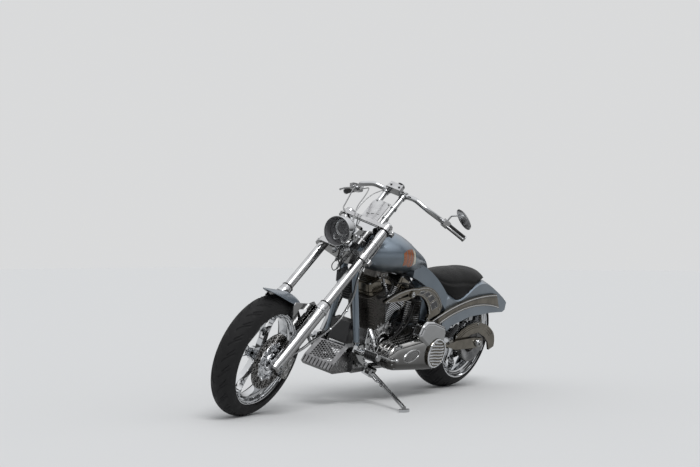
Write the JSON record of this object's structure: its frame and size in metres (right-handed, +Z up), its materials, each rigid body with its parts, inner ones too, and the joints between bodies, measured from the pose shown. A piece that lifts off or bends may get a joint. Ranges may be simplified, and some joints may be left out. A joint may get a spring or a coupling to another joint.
{
  "type": "motorcycle",
  "caption": "Long, raked custom motorcycle with a V-twin engine, wide rear tyre, forked-spoke wheels, tall risers and a side stand.",
  "frame": {"origin": "centre of the bounding box on the ground, the motorcycle at rest on its side stand", "axes": "+X forward along the wheelbase, +Y to the rider's left (the stand's side), +Z up"},
  "size_m": [2.4582, 0.8558, 1.2067],
  "materials": {
    "chrome": "polished",
    "black_metal": "satin",
    "polished_alloy": "polished",
    "silver_blue_paint": "gloss metallic",
    "black_plastic": "matt",
    "bright_steel": "satin",
    "grip_rubber": "matt",
    "tyre": "matt",
    "lens": "clear",
    "seat_leather": "satin"
  },
  "bodies": {
    "chassis": {"air_cleaner": "chrome", "arch_cover": "chrome", "backbone": "black_metal", "belt_guard": "chrome", "chin_grille": "chrome", "cradle": "chrome", "cylinders": "polished_alloy", "down_tubes": "silver_blue_paint", "electrics": "black_plastic", "engine_cases": "polished_alloy", "exhaust": "chrome", "foot_controls": "chrome", "neck": "black_metal", "passenger_pegs": "chrome", "primary_cover": "chrome", "rear_axle": "chrome", "rear_caliper": "polished_alloy", "rear_fender": "silver_blue_paint", "ribbed_cover": "chrome", "rocker_boxes": "chrome", "seat": "seat_leather", "side_spars": "silver_blue_paint", "stand_bracket": "chrome", "swingarm": "polished_alloy", "tail_strakes": "chrome", "tank": "silver_blue_paint", "transmission_cover": "chrome"},
    "steering_assembly": {"fender_brackets": "chrome", "fork_cover": "chrome", "fork_legs": "chrome", "fork_trees": "polished_alloy", "front_axle": "chrome", "front_caliper": "chrome", "front_fender": "silver_blue_paint", "front_hoses": "grip_rubber", "grips": "grip_rubber", "hand_cables": "grip_rubber", "hand_controls": "polished_alloy", "handlebar": "chrome", "headlight": "chrome", "headlight_lens": "lens", "instruments": "chrome", "mirror_left": "chrome", "risers": "chrome"},
    "front_wheel_assembly": {"front_disc": "bright_steel", "front_tyre": "tyre", "front_wheel": "chrome"},
    "rear_wheel_assembly": {"rear_disc": "bright_steel", "rear_pulley": "polished_alloy", "rear_tyre": "tyre", "rear_wheel": "chrome"},
    "stand_leg": {"side_stand": "chrome"}
  },
  "joints": [
    {"name": "steering", "type": "hinge", "parent": "chassis", "child": "steering_assembly", "pos_m": [0.8762, -0.16355, 0.2717], "axis": [-0.7037, 0.1719, 0.6894], "range_deg": [-40, 20]},
    {"name": "front_wheel_spin", "type": "hinge", "parent": "steering_assembly", "child": "front_wheel_assembly", "pos_m": [0.91119, -0.14674, 0.30322], "axis": [-0.1234, 0.926, -0.3568], "continuous": true},
    {"name": "rear_wheel_spin", "type": "hinge", "parent": "chassis", "child": "rear_wheel_assembly", "pos_m": [-0.86821, -0.15102, 0.32197], "axis": [0, 0.9703, -0.2419], "continuous": true},
    {"name": "side_stand_fold", "type": "hinge", "parent": "chassis", "child": "stand_leg", "pos_m": [0.10519, -0.03565, 0.16467], "axis": [-0.0309, 0.3883, 0.921], "range_deg": [0, 95]}
  ]
}
